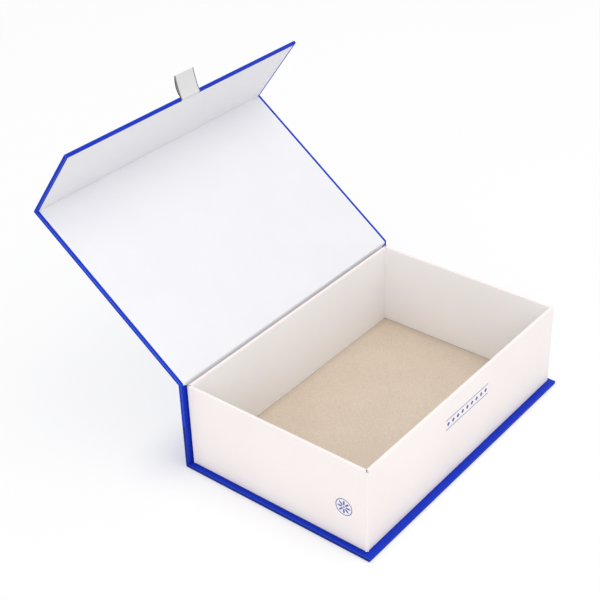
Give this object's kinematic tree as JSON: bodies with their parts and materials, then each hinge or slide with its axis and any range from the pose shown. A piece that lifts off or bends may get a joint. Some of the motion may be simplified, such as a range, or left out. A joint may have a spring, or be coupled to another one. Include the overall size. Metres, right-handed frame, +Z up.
{
  "type": "collapsible gift box",
  "caption": "Book-style gift box with a hinged lid and magnetic front flap, a ribbon pull, and a folding-wall tray that collapses flat against its spine.",
  "frame": {"origin": "centre of the base panel's underside", "axes": "+Z up, +X along the box's length, +Y towards the spine and the open lid, -Y the front"},
  "size_m": [0.3106, 0.3712, 0.3045],
  "materials": {
    "greyboard": "grey bookbinding board, matte, sealed inside the paper",
    "steel": "nickel-plated disc, hidden under the paper",
    "ribbon": "pale grey-white woven satin, soft sheen",
    "print_ink": "thin blue ink, matte",
    "floor_board": "tan kraft board, fibrous, matte",
    "adhesive": "double-sided foam tape, matte",
    "cover_paper": "saturated royal blue book cloth paper, very fine weave, satin matte",
    "cover_lining": "smooth slightly bluish white uncoated paper",
    "wall_paper": "smooth warm white paper, matte",
    "wall_lining": "smooth warm light grey-white paper, matte"
  },
  "bodies": {
    "base": {"base_board": "greyboard", "base_wrap": "cover_paper", "base_lining": "cover_lining", "floor_panel": "floor_board", "spine_hinge_cloth": "cover_paper", "spine_hinge_lining": "cover_lining"},
    "spine": {"spine_board": "greyboard", "spine_wrap": "cover_paper", "spine_lining": "cover_lining", "spine_adhesive": "adhesive", "back_wall_board": "greyboard", "back_wall_paper": "wall_paper", "back_wall_lining": "wall_lining", "lid_hinge_cloth": "cover_paper", "lid_hinge_lining": "cover_lining"},
    "lid": {"lid_board": "greyboard", "lid_wrap": "cover_paper", "lid_lining": "cover_lining", "flap_hinge_cloth": "cover_paper", "flap_hinge_lining": "cover_lining"},
    "flap": {"flap_board": "greyboard", "flap_wrap": "cover_paper", "flap_lining": "cover_lining", "flap_magnets": "steel", "ribbon_anchor": "ribbon"},
    "ribbon": {"ribbon_pull": "ribbon"},
    "left_rear_wall": {"left_rear_board": "greyboard", "left_rear_paper": "wall_paper", "left_rear_lining": "wall_lining"},
    "left_front_wall": {"left_front_board": "greyboard", "left_front_paper": "wall_paper", "left_front_lining": "wall_lining", "left_print": "print_ink"},
    "front_wall": {"front_wall_board": "greyboard", "front_wall_paper": "wall_paper", "front_wall_lining": "wall_lining", "keeper_discs": "steel", "front_print": "print_ink"},
    "right_rear_wall": {"right_rear_board": "greyboard", "right_rear_paper": "wall_paper", "right_rear_lining": "wall_lining"},
    "right_front_wall": {"right_front_board": "greyboard", "right_front_paper": "wall_paper", "right_front_lining": "wall_lining"}
  },
  "joints": [
    {"name": "spine_hinge", "type": "hinge", "parent": "base", "child": "spine", "pos_m": [0, 0.10387, 0.00135], "axis": [1, 0, 0], "range_deg": [-90, 0], "deforming": ["spine_hinge_cloth", "spine_hinge_lining"]},
    {"name": "lid_hinge", "type": "hinge", "parent": "spine", "child": "lid", "pos_m": [0, 0.10387, 0.0925], "axis": [-1, 0, 0], "range_deg": [-143.55, 36.45], "deforming": ["lid_hinge_cloth", "lid_hinge_lining"]},
    {"name": "flap_hinge", "type": "hinge", "parent": "lid", "child": "flap", "pos_m": [0, 0.26741, 0.21329], "axis": [-1, 0, 0], "range_deg": [0, 90], "deforming": ["flap_hinge_cloth", "flap_hinge_lining"]},
    {"name": "ribbon_bend", "type": "hinge", "parent": "flap", "child": "ribbon", "pos_m": [0, 0.21388, 0.28415], "axis": [-1, 0, 0], "range_deg": [-9.2, 36.1]},
    {"name": "tray_fold", "type": "hinge", "parent": "spine", "child": "left_rear_wall", "pos_m": [-0.1468, 0.09663, 0.05045], "axis": [0, 0, 1], "range_deg": [0, 88]},
    {"name": "left_crease", "type": "hinge", "parent": "left_rear_wall", "child": "left_front_wall", "pos_m": [-0.1502, 0.00222, 0.05045], "axis": [0, 0, 1], "range_deg": [-176, 0]},
    {"name": "front_left_corner", "type": "hinge", "parent": "left_front_wall", "child": "front_wall", "pos_m": [-0.1468, -0.09218, 0.05045], "axis": [0, 0, 1], "range_deg": [0, 88]},
    {"name": "back_right_corner", "type": "hinge", "parent": "spine", "child": "right_rear_wall", "pos_m": [0.1468, 0.09663, 0.05045], "axis": [0, 0, 1], "range_deg": [-88, 0]},
    {"name": "right_crease", "type": "hinge", "parent": "right_rear_wall", "child": "right_front_wall", "pos_m": [0.1502, 0.00222, 0.05045], "axis": [0, 0, 1], "range_deg": [0, 176]}
  ],
  "couplings": [
    {"joint": "ribbon_bend", "follows": "lid_hinge", "ratio": -0.25078},
    {"joint": "left_crease", "follows": "tray_fold", "ratio": -2},
    {"joint": "front_left_corner", "follows": "tray_fold", "ratio": 1},
    {"joint": "back_right_corner", "follows": "tray_fold", "ratio": -1},
    {"joint": "right_crease", "follows": "tray_fold", "ratio": 2}
  ]
}
